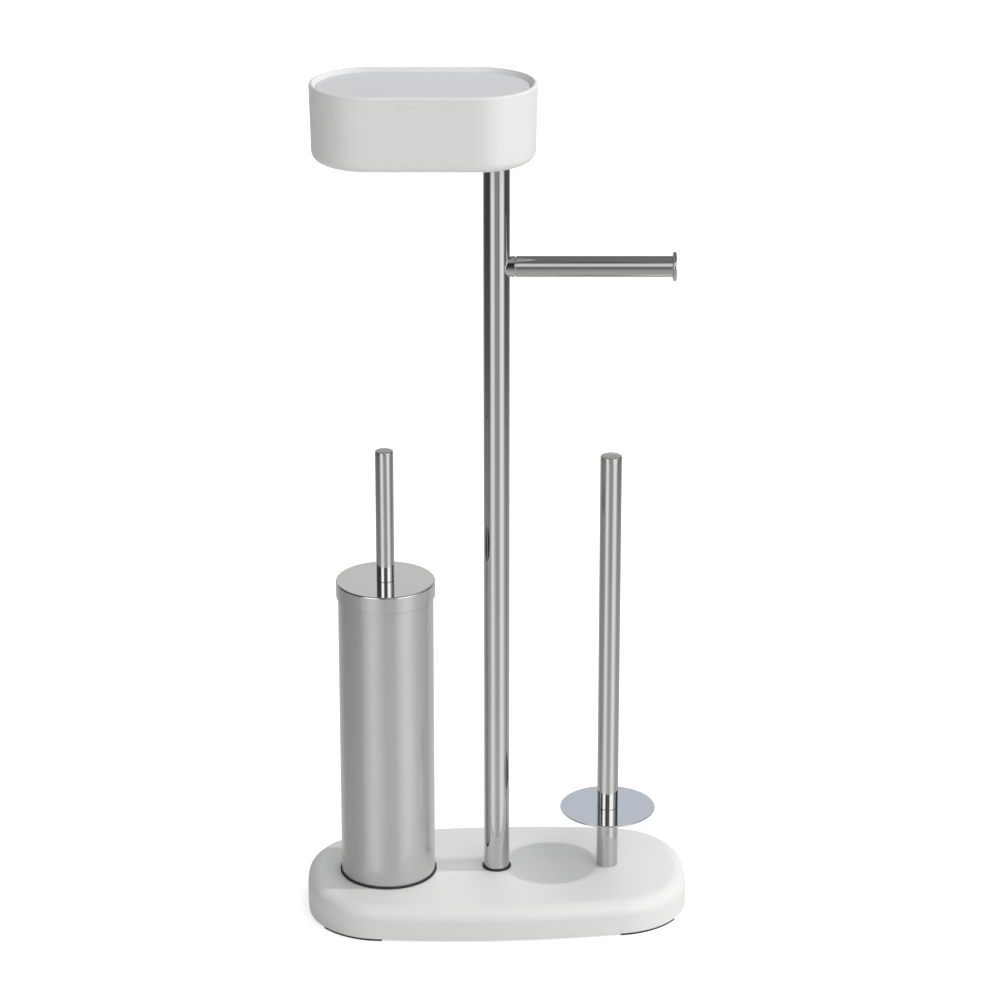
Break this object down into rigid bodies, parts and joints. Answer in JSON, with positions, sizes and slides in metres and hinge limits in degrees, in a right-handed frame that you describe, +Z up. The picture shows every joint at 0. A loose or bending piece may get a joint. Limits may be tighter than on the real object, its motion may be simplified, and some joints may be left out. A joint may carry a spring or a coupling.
{
  "type": "toilet roll and brush stand",
  "caption": "Free-standing toilet roll and brush stand: soft-edged base, chromed post with oblong lidded box and roll arm, spare-roll rod with disc, and brush in a steel holder.",
  "frame": {"origin": "the middle of the base on the floor", "axes": "+Z up along the post, +X along the base towards the spare-roll rod, -Y to the front"},
  "size_m": [0.324, 0.17, 0.7248],
  "materials": {
    "white_satin": "satin",
    "white_lid": "satin",
    "cast_mineral": "rough cast",
    "black_plate": "powder coated",
    "chrome": "polished",
    "zinc_steel": "zinc plated",
    "black_rubber": "matt",
    "liner_plastic": "satin",
    "brush_plastic": "satin",
    "bristle_nylon": "matt"
  },
  "bodies": {
    "stand": {"base_cover": "white_satin", "base_ballast": "cast_mineral", "base_plate": "black_plate", "plate_screws": "zinc_steel", "anti_slip_strips": "black_rubber", "base_bolts": "zinc_steel", "base_bolt_washers": "zinc_steel", "post_foot_washer": "black_rubber", "post_tube": "chrome", "post_foot_plug": "zinc_steel", "post_head_plug": "zinc_steel", "box_body": "white_satin", "box_clamp_plate": "zinc_steel", "box_screw": "zinc_steel", "arm_boss": "chrome", "arm_stud": "zinc_steel", "arm_plug": "zinc_steel", "arm_tube": "chrome", "arm_end_disc": "chrome", "spare_rod_foot": "chrome", "spare_roll_disc": "chrome", "spare_rod_stud": "zinc_steel", "spare_rod_plug": "zinc_steel", "spare_rod_tube": "chrome", "spare_rod_cap": "chrome", "holder_foot_ring": "black_rubber", "holder_tube": "chrome", "holder_floor": "zinc_steel", "holder_nut": "zinc_steel", "holder_liner": "liner_plastic"},
    "brush": {"brush_lid": "chrome", "brush_stud": "zinc_steel", "handle_plug": "zinc_steel", "handle_tube": "chrome", "handle_cap": "chrome", "brush_stem": "brush_plastic", "brush_core": "brush_plastic", "bristles": "bristle_nylon"},
    "lid": {"box_lid": "white_lid"}
  },
  "joints": [
    {"name": "brush_lift", "type": "slide", "parent": "stand", "child": "brush", "axis": [0, 0, 1], "range_m": [0, 0.2425]},
    {"name": "lid_lift", "type": "slide", "parent": "stand", "child": "lid", "axis": [0, 0, 1], "range_m": [0, 0.1]}
  ]
}
